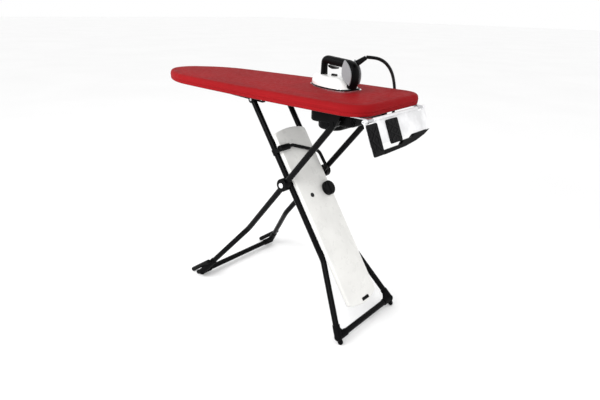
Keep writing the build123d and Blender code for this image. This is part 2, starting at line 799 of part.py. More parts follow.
knob_height = 20.0
with BuildPart() as filler_knob:
    add(puck(knob_x, knob_y, knob_radius, knob_base + 0.4, knob_base + knob_height))
    fillet(filler_knob.edges().filter_by(GeomType.CIRCLE), 4)
    with BuildSketch(on_front(knob_x, knob_y, knob_base + knob_height - 4)):
        SlotOverall(2 * knob_radius - 10, 9)
    extrude(amount=6)
    # finger flutes round the rim
    with BuildSketch(on_front(knob_x, knob_y, knob_base)):
        with PolarLocations(knob_radius + 1.6, 12):
            Circle(3)
    extrude(amount=40, mode=Mode.SUBTRACT)
    add(puck(knob_x, knob_y, neck_radius, knob_base - 9, knob_base + 1))
save(filler_knob, "filler_knob")

with BuildPart() as indicator_lamp:
    add(puck(lamp_x, lamp_y, lamp_radius, crown(lamp_y) - 6, crown(lamp_y) + 1.6))
    fillet(indicator_lamp.edges().filter_by(GeomType.CIRCLE).sort_by(
        lambda edge: (edge.center() - hub).dot(a_out))[-1], 1)
save(indicator_lamp, "indicator_lamp")

rocker_out = gen_crown
with BuildPart() as rocker_switch:
    with BuildSketch(Plane(origin=frame_a.from_local_coords(
            Vector(rocker_x - rocker_width / 2, rocker_y, rocker_out)),
            x_dir=(0, 1, 0), z_dir=a_down)):
        with BuildLine():
            half_rocker = rocker_length / 2
            Polyline((-half_rocker, -8), (half_rocker, -8), (half_rocker, 3.5),
                     (0, 0.5), (-half_rocker, 1.5), close=True)
        make_face()
    extrude(amount=rocker_width)
save(rocker_switch, "rocker_switch")

# ---- clamps that hold the generator to the inner legs ---------------------------------
clamp_places = (-160.0, 290.0)
with BuildPart() as generator_clamps:
    for side in sides.values():
        for place in clamp_places:
            with BuildSketch(on_front(place, side * 78.3, 2.2)):
                Rectangle(24, 11.2)
            extrude(amount=10)
    for side in sides.values():
        add(drum_along(-340, 310, side * a_half, 0, tube_radius), mode=Mode.SUBTRACT)
save(generator_clamps, "generator_clamps")

# ---- bail: a bent rod that swings in a sleeve on the near leg --------------------------
sleeve_start, sleeve_end = -105.0, -57.0
with BuildPart() as bail_sleeve:
    origin = frame_a.from_local_coords(Vector(bail_x, sleeve_start, bail_z))
    with BuildSketch(Plane(origin=origin, z_dir=(0, 1, 0))):
        Circle(sleeve_radius)
    extrude(amount=sleeve_end - sleeve_start)
    add(drum_along(bail_x - 11, bail_x + 11, -a_half, 0, 14))
    with BuildSketch(on_front(bail_x, -94, 8)):
        Rectangle(16, 13.4)
    extrude(amount=bail_z - 12)
    add(drum_along(bail_x - 30, bail_x + 30, -a_half, 0, tube_radius), mode=Mode.SUBTRACT)
    with BuildSketch(Plane(origin=origin, z_dir=(0, 1, 0))):
        Circle(bail_radius + running)
    extrude(amount=sleeve_end - sleeve_start, mode=Mode.SUBTRACT)
save(bail_sleeve, "bail_sleeve")

bail_points = [(bail_x, sleeve_start + 2, bail_z), (bail_x, -34, bail_z),
               (-76, 88, bail_z), (-6, 92, bail_z), (2, 92, 22)]
with BuildPart() as generator_bail:
    add(swept([frame_a.from_local_coords(Vector(*p)) for p in bail_points], bail_radius,
              [24, 24, 9]))
save(generator_bail, "generator_bail")

# ======================================================================================
# Iron, built in its own plane: x from the nose to the heel, y to the far side, z up
# ======================================================================================
def iron_plan(inset):
    """Sole outline, drawn in by inset: a point at the nose, square with a soft heel."""
    centre = 0.54 * iron_length
    wide = iron_half - inset

    def at(along, across_part):
        return (centre + (along - 0.54) * (iron_length - 2 * inset), wide * across_part)

    with BuildSketch() as plan:
        with BuildLine():
            Spline(at(0, 0), at(0.075, 0.32), at(0.27, 0.75), at(0.5, 0.97), at(0.68, 1),
                   tangents=[(0, 1), (1, 0)])
            Line(at(0.68, 1), at(0.84, 0.965))
            Spline(at(0.84, 0.965), at(0.965, 0.74), at(1, 0),
                   tangents=[(1, -0.06), (0, -1)])
            mirror(about=Plane.XZ)
        make_face()
    return plan.sketch


def on_iron(height):
    """The iron's own plane, raised."""
    return iron.offset(height)


sole_thick, skirt_top, shell_top = 4.0, 8.0, 42.0
with BuildPart() as iron_soleplate:
    with BuildSketch(on_iron(0)):
        add(iron_plan(0))
    extrude(amount=sole_thick)
    with BuildSketch(on_iron(0)):
        with Locations(*[(x, y) for x in (60, 90, 120, 150, 180) for y in (-22, 0, 22)]):
            Circle(1.8)
    extrude(amount=2, mode=Mode.SUBTRACT)
save(iron_soleplate, "iron_soleplate")

with BuildPart() as iron_skirt:
    with BuildSketch(on_iron(sole_thick)):
        add(iron_plan(5))
    extrude(amount=skirt_top - sole_thick)
save(iron_skirt, "iron_skirt")

with BuildPart() as iron_shell:
    for height, inset in ((skirt_top, 4), (25, 9), (36, 19), (shell_top, 34)):
        with BuildSketch(on_iron(height)):
            add(iron_plan(inset))
    loft()
    # seats for the two handle posts
    with BuildSketch(on_iron(shell_top - 14)):
        with Locations((66, 0)):
            Rectangle(21, 29)
    extrude(amount=30, mode=Mode.SUBTRACT)
    with BuildSketch(on_iron(skirt_top + 4)):
        with Locations((iron_length - 11, 0)):
            Rectangle(62, 50)
    extrude(amount=60, mode=Mode.SUBTRACT)
save(iron_shell, "iron_shell")


def iron_side(start_y):
    """The iron's side view: local x to the heel and local y up, drawn at start_y."""
    origin = iron.from_local_coords(Vector(0, start_y, 0))
    return Plane(origin=origin, x_dir=iron.x_dir, z_dir=-iron.y_dir)


handle_half, rear_half = 14.0, 21.0
with BuildPart() as iron_handle:
    with BuildSketch(iron_side(handle_half)):
        with BuildLine():
            Polyline((56, shell_top - 13), (76, shell_top - 13), (76, 72), (86, 78),
                     (196, 70), (196, 100), (80, 107), (60, 101), (56, 92), close=True)
        make_face()
    extrude(amount=2 * handle_half)
    fillet(iron_handle.edges().filter_by(
        lambda edge: abs(edge.tangent_at(0.5).dot(iron.y_dir)) < 0.5), 7)
    with BuildSketch(iron_side(rear_half)):
        with BuildLine():
            Line((180, 36), (180, 96))
            Spline((180, 96), (206, 103), (222, 88), (228, 60), (218, skirt_top + 5),
                   tangents=[(1, 0.5), (-0.3, -1)])
            Line((218, skirt_top + 5), (182, skirt_top + 5))
            Line((182, skirt_top + 5), (180, 36))
        make_face()
    extrude(amount=2 * rear_half)
save(iron_handle, "iron_handle")

with BuildPart() as iron_side_panels:
    for start in (rear_half + 3.5, -rear_half - 0.2):
        with BuildSketch(iron_side(start)):
            with BuildLine():
                Spline((190, 101), (179, 72), (181, 46))
                Spline((181, 46), (198, 34), (216, 22))
                Spline((216, 22), (222, 60), (190, 101))
            make_face()
        extrude(amount=3.3)
save(iron_side_panels, "iron_side_panels")

iron_lamp_x = 118.0
with BuildPart() as iron_lamp:
    with BuildSketch(on_iron(shell_top + 0.1)):
        with Locations((iron_lamp_x, 0)):
            SlotOverall(26, 13)
    extrude(amount=6)
    fillet(iron_lamp.faces().sort_by(Axis.Z)[-1].edges(), 3)
save(iron_lamp, "iron_lamp")

with BuildPart() as steam_trigger:
    with BuildSketch(iron_side(7)):
        with BuildLine():
            Polyline((90, 75.7), (134, 70.6), (130, 65.5), (112, 64), (94, 68.5), close=True)
        make_face()
    extrude(amount=14)
save(steam_trigger, "steam_trigger")

relief_start = iron.from_local_coords(Vector(222, 0, 92))
relief_end = hose_points[0]
relief_axis = (relief_end - relief_start).normalized()
with BuildPart() as iron_strain_relief:
    relief_length = (relief_end - relief_start).length - 3.5
    with BuildSketch(Plane(origin=relief_start, z_dir=relief_axis)):
        Circle(relief_radius + 2)
    with BuildSketch(Plane(origin=relief_start + relief_axis * relief_length,
                           z_dir=relief_axis)):
        Circle(relief_radius - 1)
    loft()
    add(iron_handle.part, mode=Mode.SUBTRACT)
save(iron_strain_relief, "iron_strain_relief")

# ======================================================================================
# Hose
# ======================================================================================
gland_tip = hose_points[-1]
gland_axis = (hose_points[-1] - hose_points[-2]).normalized()
with BuildPart() as hose_gland:
    with BuildSketch(Plane(origin=gland_tip + gland_axis * 0.05, z_dir=gland_axis)):
        Circle(7.5)
    with BuildSketch(Plane(origin=gland_tip + gland_axis * 22, z_dir=gland_axis)):
        Circle(11)
    loft()
    with BuildSketch(Plane(origin=gland_tip + gland_axis * 22, z_dir=gland_axis)):
        Circle(11)
    extrude(amount=30)
    with BuildSketch(Plane.XZ.offset(-upper_box[2])):
        with Locations((gland_tip.X, 780)):
            Rectangle(80, 120)
    extrude(amount=80, mode=Mode.SUBTRACT)
save(hose_gland, "hose_gland")


def corner_radii(points):
    """Each corner's radius: 0.45 of its shorter run over the tangent of half the turn."""
    radii = []
    for before, here, after in zip(points, points[1:], points[2:]):
        turn = radians((here - before).get_angle(after - here))
        run = min((here - before).length, (after - here).length)
        radii.append(0.45 * run / tan(turn / 2))
    return radii


hose_radii = corner_radii(hose_points)
print("hose corner radii, mm:", [round(radius, 1) for radius in hose_radii])
with BuildPart() as steam_hose:
    add(swept(hose_points, hose_radius, hose_radii))
with BuildLine() as hose_path:
    FilletPolyline(*hose_points, radius=hose_radii)
hose_length = sum(edge.length for edge in hose_path.line.edges())
hose_section = pi * hose_radius ** 2
print("hose length, mm:", round(hose_length, 1), "volume over section times length:",
      round(steam_hose.part.volume / (hose_section * hose_length), 4))
save(steam_hose, "steam_hose")
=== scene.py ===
"""Looks of the steam ironing station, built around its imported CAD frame. Metres, +Z up."""
import json
import math

import bmesh
import bpy
from mathutils import Matrix, Vector, geometry, noise


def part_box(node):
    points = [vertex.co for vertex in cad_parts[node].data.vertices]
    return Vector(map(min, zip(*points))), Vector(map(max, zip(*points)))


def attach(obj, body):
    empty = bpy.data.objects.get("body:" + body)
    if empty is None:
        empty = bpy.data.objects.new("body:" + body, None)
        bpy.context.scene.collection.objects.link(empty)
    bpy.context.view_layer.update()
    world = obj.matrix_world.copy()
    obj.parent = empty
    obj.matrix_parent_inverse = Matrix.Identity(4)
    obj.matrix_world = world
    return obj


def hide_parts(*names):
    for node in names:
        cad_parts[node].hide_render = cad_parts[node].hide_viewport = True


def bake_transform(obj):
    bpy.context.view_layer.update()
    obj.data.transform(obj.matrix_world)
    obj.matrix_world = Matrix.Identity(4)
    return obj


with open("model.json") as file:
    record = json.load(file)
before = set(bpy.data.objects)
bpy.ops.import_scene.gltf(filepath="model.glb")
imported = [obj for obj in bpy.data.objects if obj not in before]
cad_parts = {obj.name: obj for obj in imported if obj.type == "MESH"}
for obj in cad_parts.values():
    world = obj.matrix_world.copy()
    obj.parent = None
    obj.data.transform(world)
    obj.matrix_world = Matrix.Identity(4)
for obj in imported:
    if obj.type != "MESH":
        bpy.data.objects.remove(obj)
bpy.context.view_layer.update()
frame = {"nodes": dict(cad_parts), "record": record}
nodes = frame["nodes"]
scene = bpy.context.scene

# ---- places worked out from the frame ------------------------------------------------
board_low, board_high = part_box("board_cover")
nose_x, end_x = board_low.x, board_high.x
STAND_BACK = 0.600                  # from the wide end to the point the stand is set out from
mid = end_x - STAND_BACK
board_half = board_high.y
board_top = board_high.z
board_under = board_low.z + 0.0005

IRON_TURN = math.radians(10)        # the nose points this far off the board's length
iron_x = Vector((math.cos(IRON_TURN), -math.sin(IRON_TURN), 0))
iron_y = Vector((math.sin(IRON_TURN), math.cos(IRON_TURN), 0))
iron_nose = Vector((mid + 0.2175, 0.042, board_top + 0.0003))


def on_iron(along, across, up):
    """A point in the iron's own axes, from its nose towards the heel."""
    return iron_nose + iron_x * along + iron_y * across + Vector((0, 0, up))


# ======================================================================================
# Camera
# ======================================================================================
CAMERA_ANGLES = (40.975, 21.999, 1.287)             # azimuth, elevation and roll, degrees
CAMERA_PLACE = Vector((mid + 1.35496, -1.31943, 1.11303))
SENSOR_WIDTH, LENS = 36.0, 28.646                   # mm


def make_camera():
    azimuth, elevation, roll = (math.radians(angle) for angle in CAMERA_ANGLES)
    back = Vector((math.sin(azimuth) * math.cos(elevation),
                   -math.cos(azimuth) * math.cos(elevation), math.sin(elevation)))
    right = Vector((math.cos(azimuth), math.sin(azimuth), 0))
    up = back.cross(right)
    turned_right = right * math.cos(roll) + up * math.sin(roll)
    turned_up = up * math.cos(roll) - right * math.sin(roll)
    data = bpy.data.cameras.new("camera")
    data.sensor_width = SENSOR_WIDTH
    data.lens = LENS
    camera = bpy.data.objects.new("camera", data)
    scene.collection.objects.link(camera)
    turn = Matrix((turned_right, turned_up, back)).transposed().to_4x4()
    camera.matrix_world = Matrix.Translation(CAMERA_PLACE) @ turn
    scene.camera = camera


make_camera()


# ======================================================================================
# Materials
# ======================================================================================
class Shader:
    """A material being wired: a few helpers round its node tree."""

    def __init__(self, name):
        self.material = bpy.data.materials.new(name)
        self.material.use_nodes = True
        self.tree = self.material.node_tree
        self.principled = self.tree.nodes["Principled BSDF"]
        self.coordinates = self.node("ShaderNodeTexCoord").outputs["Object"]

    def node(self, kind, **settings):
        made = self.tree.nodes.new(kind)
        for key, value in settings.items():
            setattr(made, key, value)
        return made

    def link(self, source, target):
        self.tree.links.new(source, target)

    def set(self, **values):
        for key, value in values.items():
            self.principled.inputs[key.replace("_", " ")].default_value = value

    def noise(self, scale, detail=3.0, roughness=0.55, stretch=None):
        texture = self.node("ShaderNodeTexNoise")
        texture.inputs["Scale"].default_value = scale
        texture.inputs["Detail"].default_value = detail
        texture.inputs["Roughness"].default_value = roughness
        self.link(self.stretched(stretch), texture.inputs["Vector"])
        return texture.outputs["Fac"]

    def stretched(self, stretch):
        if stretch is None:
            return self.coordinates
        mapping = self.node("ShaderNodeMapping")
        mapping.inputs["Scale"].default_value = stretch
        self.link(self.coordinates, mapping.inputs["Vector"])
        return mapping.outputs["Vector"]

    def spread(self, value, low, high, start=0.35, end=0.65):
        """Maps a texture's start..end to low..high."""
        ramp = self.node("ShaderNodeMapRange")
        for key, number in (("From Min", start), ("From Max", end), ("To Min", low),
                            ("To Max", high)):
            ramp.inputs[key].default_value = number
        self.link(value, ramp.inputs["Value"])
        return ramp.outputs["Result"]

    def math(self, operation, first, second):
        made = self.node("ShaderNodeMath", operation=operation)
        for socket, value in zip(made.inputs, (first, second)):
            if isinstance(value, (int, float)):
                socket.default_value = value
            else:
                self.link(value, socket)
        return made.outputs[0]

    def mix(self, factor, first, second):
        made = self.node("ShaderNodeMix", data_type="RGBA")
        self.link(factor, made.inputs["Factor"])
        for socket, value in ((made.inputs[6], first), (made.inputs[7], second)):
            if isinstance(value, bpy.types.NodeSocket):
                self.link(value, socket)
            else:
                socket.default_value = (*value, 1)
        return made.outputs[2]

    def bump(self, height, strength, distance):
        made = self.node("ShaderNodeBump")
        made.inputs["Strength"].default_value = strength
        made.inputs["Distance"].default_value = distance
        self.link(height, made.inputs["Height"])
        self.link(made.outputs["Normal"], self.principled.inputs["Normal"])


def shade(colour, amount):
    return tuple(max(0.0, min(1.0, channel * amount)) for channel in colour)


def moulded(name, colour, roughness, grain=0.00006, grain_scale=900, worn=1.25, **extra):
    """Moulded plastic or rubber: faint cloudy colour, fine grain and a few rubbed spots."""
    s = Shader(name)
    cloud = s.mix(s.spread(s.noise(9, 4), 0, 1), shade(colour, 0.93), shade(colour, 1.05))
    rubbed = s.spread(s.noise(75, 6, 0.7), 0, 0.5, 0.60, 0.78)
    s.link(s.mix(rubbed, cloud, shade(colour, worn)), s.principled.inputs["Base Color"])
    s.link(s.spread(s.noise(35, 5), roughness - 0.05, roughness + 0.07),
           s.principled.inputs["Roughness"])
    s.bump(s.noise(grain_scale, 2), 0.5, grain)
    s.set(**extra)
    return s.material


def painted(name, colour, roughness, **extra):
    """Powder paint on steel: orange-peel bump, cloudy colour and a few rubbed spots."""
    s = Shader(name)
    cloud = s.mix(s.spread(s.noise(14, 5), 0, 1), shade(colour, 0.85), shade(colour, 1.15))
    rubbed = s.spread(s.noise(85, 6, 0.7), 0, 0.35, 0.62, 0.8)
    s.link(s.mix(rubbed, cloud, shade(colour, 1.9)), s.principled.inputs["Base Color"])
    s.link(s.spread(s.noise(40, 4), roughness - 0.06, roughness + 0.08),
           s.principled.inputs["Roughness"])
    s.bump(s.noise(520, 2), 0.4, 0.00008)
    s.set(**extra)
    return s.material


def metal(name, colour, roughness, grain=(1, 1, 40)):
    """Brushed or polished metal: fine lines along one direction."""
    s = Shader(name)
    lines = s.noise(60, 3, stretch=grain)
    s.link(s.mix(s.spread(lines, 0, 1), shade(colour, 0.88), shade(colour, 1.06)),
           s.principled.inputs["Base Color"])
    s.link(s.spread(lines, roughness - 0.04, roughness + 0.06),
           s.principled.inputs["Roughness"])
    s.bump(lines, 0.25, 0.00003)
    s.set(Metallic=1.0)
    return s.material


def woven(name, colour, thread=0.0011, roughness=0.62):
    """Close plain weave with a soft sheen and slow changes of colour."""
    s = Shader(name)
    weave = None
    for direction in "XYZ":
        wave = s.node("ShaderNodeTexWave", bands_direction=direction)
        wave.inputs["Scale"].default_value = 0.31 / thread
        wave.inputs["Distortion"].default_value = 0.6
        wave.inputs["Detail Scale"].default_value = 1.5
        s.link(s.coordinates, wave.inputs["Vector"])
        lifted = s.spread(wave.outputs["Fac"], 0.55, 1, 0, 1)
        weave = lifted if weave is None else s.math("MULTIPLY", weave, lifted)
    slow = s.spread(s.noise(3.2, 4), 0, 1)
    cloth = s.mix(slow, shade(colour, 0.90), shade(colour, 1.07))
    s.link(s.mix(s.spread(weave, 0.75, 0, 0.2, 0.9), cloth, shade(colour, 0.55)),
           s.principled.inputs["Base Color"])
    s.link(s.spread(s.noise(70, 4), roughness - 0.06, roughness + 0.06),
           s.principled.inputs["Roughness"])
    s.bump(weave, 0.55, 0.00025)
    s.set(Specular_IOR_Level=0.04)
    return s.material


RED = (0.315, 0.008, 0.011)
BLACK = (0.0022, 0.0022, 0.0025)
materials = {
    "cover_cloth": woven("cover_cloth", RED),
    "foam": moulded("foam", (0.70, 0.68, 0.62), 0.9, grain=0.0004, grain_scale=300),
    "pan_paint": painted("pan_paint", (0.06, 0.06, 0.063), 0.42),
    "plate_paint": painted("plate_paint", (0.55, 0.55, 0.56), 0.4),
    "black_plastic": moulded("black_plastic", BLACK, 0.34, Specular_IOR_Level=0.055),
    "gloss_black": moulded("gloss_black", BLACK, 0.20, grain=0.00001, Specular_IOR_Level=0.08),
    "leg_paint": painted("leg_paint", (0.0025, 0.0025, 0.0028), 0.24, Specular_IOR_Level=0.06),
    "bracket_steel": metal("bracket_steel", (0.58, 0.58, 0.60), 0.34),
    "axle_steel": metal("axle_steel", (0.62, 0.62, 0.64), 0.28, (40, 1, 40)),
    "cap_chrome": metal("cap_chrome", (0.84, 0.84, 0.86), 0.10, (40, 1, 40)),
    "foot_rubber": moulded("foot_rubber", BLACK, 0.5, grain=0.0001, Specular_IOR_Level=0.05),
    "shell_plastic": moulded("shell_plastic", (0.76, 0.755, 0.73), 0.30, worn=1.0),
    "back_plastic": moulded("back_plastic", (0.42, 0.42, 0.43), 0.45, worn=1.1),
    "tank_steel": metal("tank_steel", (0.60, 0.60, 0.61), 0.32),
    "tank_plastic": moulded("tank_plastic", (0.74, 0.77, 0.80), 0.4),
    "motor_steel": metal("motor_steel", (0.50, 0.50, 0.52), 0.38),
    "board_green": moulded("board_green", (0.02, 0.16, 0.06), 0.45),
    "lamp_dark": moulded("lamp_dark", (0.008, 0.008, 0.010), 0.2, Specular_IOR_Level=0.2),
    "bail_steel": painted("bail_steel", (0.0025, 0.0025, 0.0028), 0.22, Specular_IOR_Level=0.07),
    "plate_white": painted("plate_white", (0.80, 0.80, 0.81), 0.36),
    "silicone": moulded("silicone", (0.004, 0.004, 0.0045), 0.42, grain=0.00015,
                        grain_scale=500, Specular_IOR_Level=0.07),
    "sole_metal": metal("sole_metal", (0.72, 0.72, 0.74), 0.20, (40, 1, 1)),
    "iron_white": moulded("iron_white", (0.80, 0.80, 0.79), 0.16, grain=0.00001, worn=0.98,
                          Coat_Weight=0.5, Coat_Roughness=0.06),
    "panel_grey": moulded("panel_grey", (0.24, 0.25, 0.26), 0.38, grain=0.0002,
                          grain_scale=420),
    "hose_rubber": moulded("hose_rubber", BLACK, 0.36, grain=0.00004, Specular_IOR_Level=0.07),
}


def paint(obj, slot_name):
    """Give an object one material and its record slot."""
    obj.data.materials.clear()
    obj.data.materials.append(materials[slot_name])
    if obj.type == "MESH":
        for polygon in obj.data.polygons:
            polygon.material_index = 0
    return obj


for entry in frame["record"]["subparts"]:
    paint(nodes[entry["node"]], entry["material_slot"])


# ======================================================================================
# Mesh helpers
# ======================================================================================
def object_from(name, bm, slot_name, body, smooth_angle=40):
    """Turn a bmesh into an object that rides on a body."""
    bmesh.ops.recalc_face_normals(bm, faces=bm.faces[:])
    mesh = bpy.data.meshes.new(name)
    bm.to_mesh(mesh)
    bm.free()
    obj = bpy.data.objects.new(name, mesh)
    scene.collection.objects.link(obj)
    mesh.shade_smooth()
    mesh.set_sharp_from_angle(angle=math.radians(smooth_angle))
    paint(obj, slot_name)
    if body:
        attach(obj, body)
    return obj


def bridged(bm, rings, closed=True):
    """Quads between neighbouring rings of equal length."""
    count = len(rings[0])
    for one, two in zip(rings, rings[1:]):
        for i in range(count if closed else count - 1):
            j = (i + 1) % count
            bm.faces.new((one[i], one[j], two[j], two[i]))


# ======================================================================================
# Steam hose
# ======================================================================================
HOSE_DIAMETER = 0.011
HOSE_ROUTE = [(0.455, 0.031, 0.967), (0.472, 0.060, 0.965), (0.481, 0.094, 0.953),
              (0.481, 0.131, 0.932), (0.472, 0.171, 0.905), (0.459, 0.210, 0.872),
              (0.449, 0.240, 0.828), (0.452, 0.240, 0.772), (0.462, 0.214, 0.738),
              (0.474, 0.174, 0.725), (0.485, 0.134, 0.736), (0.491, 0.114, 0.762)]
hose_route = [Vector((mid + x, y, z)) for x, y, z in HOSE_ROUTE]


def spline_mesh(points, radius):
    """Mesh of a NURBS line through a route's control points, as a tube or a bare line."""
    data = bpy.data.curves.new("route", "CURVE")
    data.dimensions = "3D"
    spline = data.splines.new("NURBS")
    spline.points.add(len(points) - 1)
    for place, point in zip(spline.points, points):
        place.co = (*point, 1)
    spline.order_u = 3
    spline.use_endpoint_u = True
    data.resolution_u = 12
    data.bevel_depth = radius
    data.bevel_resolution = 5
    data.use_fill_caps = radius > 0
    holder = bpy.data.objects.new("route", data)
    scene.collection.objects.link(holder)
    bpy.context.view_layer.update()
    mesh = bpy.data.meshes.new_from_object(holder)
    bpy.data.objects.remove(holder)
    return mesh


def make_hose():
    line = [vertex.co.copy() for vertex in spline_mesh(hose_route, 0).vertices]
    mesh = spline_mesh(hose_route, HOSE_DIAMETER / 2)
    mesh.name = "hose"
    hose = bpy.data.objects.new("hose", mesh)
    scene.collection.objects.link(hose)
    mesh.shade_smooth()
    paint(hose, "hose_rubber")
    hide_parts("steam_hose")
    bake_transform(hose)


make_hose()


# ======================================================================================
# Board: the padded cover
# ======================================================================================
NOSE_RADIUS, SHOULDER_RADIUS, SIDE_RADIUS = 0.102, 0.386, 9.000
SIDE_LENGTH, CORNER_RADIUS = 0.900, 0.080


def arc(centre, start, end, radius, steps):
    """Points of an arc between two directions, in degrees of plan angle."""
    return [centre + Vector((math.cos(a), math.sin(a))) * radius
            for a in (start + (end - start) * i / steps for i in range(steps + 1))]


def board_outline(inset, spacing=0.006):
    """The board's plan moved in by inset, as even points all the way round."""
    nose = Vector((nose_x + NOSE_RADIUS, 0))
    side = Vector((nose_x + SIDE_LENGTH, board_half - SIDE_RADIUS))
    to_side, to_nose = SIDE_RADIUS - SHOULDER_RADIUS, SHOULDER_RADIUS - NOSE_RADIUS
    span = nose - side
    along = (to_side ** 2 - to_nose ** 2 + span.length ** 2) / (2 * span.length)
    unit = span.normalized()
    shoulder = side + unit * along + Vector((unit.y, -unit.x)) * math.sqrt(
        to_side ** 2 - along ** 2)
    first = math.atan2(*(nose - shoulder).yx)
    second = math.atan2(*(shoulder - side).yx)
    half = []
    half += arc(nose, math.pi, first, NOSE_RADIUS - inset, 14)
    half += arc(shoulder, first, second, SHOULDER_RADIUS - inset, 16)[1:]
    half += arc(side, second, math.pi / 2, SIDE_RADIUS - inset, 40)[1:]
    corner = Vector((end_x - CORNER_RADIUS, board_half - CORNER_RADIUS))
    half += arc(corner, math.pi / 2, 0, CORNER_RADIUS - inset, 14)
    half.append(Vector((end_x - inset, 0)))
    loop = half + [Vector((p.x, -p.y)) for p in reversed(half[1:-1])]
    lengths = [0.0]
    for a, b in zip(loop, loop[1:] + loop[:1]):
        lengths.append(lengths[-1] + (b - a).length)
    count = round(lengths[-1] / spacing)
    points, k = [], 0
    for i in range(count):
        want = lengths[-1] * i / count
        while lengths[k + 1] < want:
            k += 1
        a, b = loop[k], loop[(k + 1) % len(loop)]
        points.append(a.lerp(b, (want - lengths[k]) / (lengths[k + 1] - lengths[k])))
    return points


def inward_normals(loop):
    """Unit vectors into the board at each point of a closed outline."""
    normals = []
    for i, point in enumerate(loop):
        before, after = loop[i - 1], loop[(i + 1) % len(loop)]
        inward = Vector((before.y - after.y, after.x - before.x)).normalized()
        normals.append(inward if inward.dot(Vector((mid, 0)) - point) > 0 else -inward)
    return normals


COVER_EDGE, COVER_ROLL = 0.0145, 0.005      # radii of the padded edge and the rolled hem
SEAM_UP = 0.0115                            # stitched seam above the hem
TOP_GRID = 0.010                            # spacing of the points on the flat top
STITCH_LENGTH, STITCH_RADIUS = 0.0052, 0.0006


def cover_profile():
    """The cover's edge in section, from its top inwards to its hem: inset and height."""
    edge, roll, low = COVER_EDGE, COVER_ROLL, board_under
    profile = [(0.040, board_top - 0.0001), (0.030, board_top - 0.0002),
               (0.021, board_top - 0.0004)]
    for i in range(10):
        angle = math.pi / 2 * (1 - i / 9)
        profile.append((edge - edge * math.cos(angle),
                        board_top - edge + (edge - 0.0006) * math.sin(angle)))
    seam = low + SEAM_UP
    profile += [(-0.0008, board_top - 0.018), (0.0000, seam + 0.0016), (0.0011, seam),
                (0.0001, seam - 0.0018), (0.0002, low + 0.0065)]
    profile += [(roll * (1 - math.cos(a)), low + roll - roll * math.sin(a))
                for a in (math.pi / 8, math.pi / 4, 3 * math.pi / 8, math.pi / 2)]
    return profile + [(0.020, low + 0.0006)]


def make_cover():
    """The cover: a taut padded top, a full rounded edge and a hem turned under."""
    base = board_outline(0)
    inwards = inward_normals(base)
    bm = bmesh.new()
    rings = []
    for inset, z in cover_profile():
        rings.append([bm.verts.new((*(point + inward * inset), z))
                      for point, inward in zip(base, inwards)])
    bridged(bm, rings)
    bm.faces.new(rings[-1])
    # the flat top is filled with an even grid of points
    ring, step = [vertex.co.xy for vertex in rings[0]], TOP_GRID
    spots = []
    columns = int((end_x - nose_x) / step)
    for i in range(columns):
        for j in range(int(board_half / step) * 2 + 1):
            spot = Vector((nose_x + (i + 0.5) * step, -board_half + j * step))
            if min((spot - edge).length_squared for edge in ring[::2]) > (0.8 * step) ** 2:
                spots.append(spot)
    loop = list(range(len(ring)))
    points, _, faces, *_ = geometry.delaunay_2d_cdt(
        ring + spots, [], [loop], 1, 1e-7)
    made = rings[0] + [bm.verts.new((*point, board_top)) for point in points[len(ring):]]
    for face in faces:
        bm.faces.new([made[k] for k in face])
    bm.normal_update()
    # slow ripples in the drawn cloth, flat where the iron stands
    middle = on_iron(0.11, 0, 0).xy
    for vertex in bm.verts:
        p = vertex.co
        away = min(1.0, max(0.0, (p.xy - middle).length / 0.05 - 2.4))
        slow = noise.noise(Vector((p.x * 7, p.y * 9, p.z * 30)))
        fine = noise.noise(Vector((p.x * 30, p.y * 34, p.z * 22 + 9)))
        side = 1.0 if p.z < board_top - 0.004 else 0.35
        inward = Vector((mid - p.x, -p.y, 0)).normalized() if side == 1.0 else Vector((0, 0, -1))
        p += inward * (0.0006 - slow * 0.0006 - fine * 0.0005 * side) * away
    cover = object_from("board_cover_cloth", bm, "cover_cloth", None, 180)
    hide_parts("board_cover", "foam_pad")
    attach(cover, "board")


def make_stitches():
    """One row of stitches along the seam above the hem."""
    line = board_outline(0, 0.0045)
    inwards = inward_normals(line)
    bm = bmesh.new()
    height = board_under + SEAM_UP
    for i in range(0, len(line) - 1, 2):
        centre = line[i] + inwards[i] * STITCH_RADIUS
        along = (line[i + 1] - line[i]).normalized()
        out = -inwards[i]
        rings = []
        for step, thick in ((-1, 0.15), (-0.75, 0.8), (0, 1), (0.75, 0.8), (1, 0.15)):
            place = centre + along * STITCH_LENGTH / 2 * step
            ring = []
            for k in range(6):
                turn = k * math.pi / 3
                side = out * math.cos(turn) * STITCH_RADIUS * thick
                ring.append(bm.verts.new((*(place + side),
                                          height + math.sin(turn) * STITCH_RADIUS * thick)))
            rings.append(ring)
        bridged(bm, rings)
        bm.faces.new(rings[0])
        bm.faces.new(rings[-1])
    object_from("hem_stitches", bm, "cover_cloth", "board")


make_cover()
make_stitches()


# ======================================================================================
# Iron: smooth skins over the plain shell and handle
# ======================================================================================
SKIRT_TOP, SHELL_TOP = 0.008, 0.042
IRON_LENGTH, IRON_HALF = 0.219, 0.055
# one side of the sole outline: along from the nose and half width, in parts of the whole
SOLE_SIDE = [(0, 0), (0.012, 0.12), (0.04, 0.235), (0.075, 0.335), (0.15, 0.52),
             (0.27, 0.745), (0.38, 0.885), (0.5, 0.965), (0.6, 0.995), (0.68, 1), (0.76, 0.985),
             (0.84, 0.955), (0.90, 0.88), (0.95, 0.73), (0.98, 0.50), (0.995, 0.24), (1, 0)]


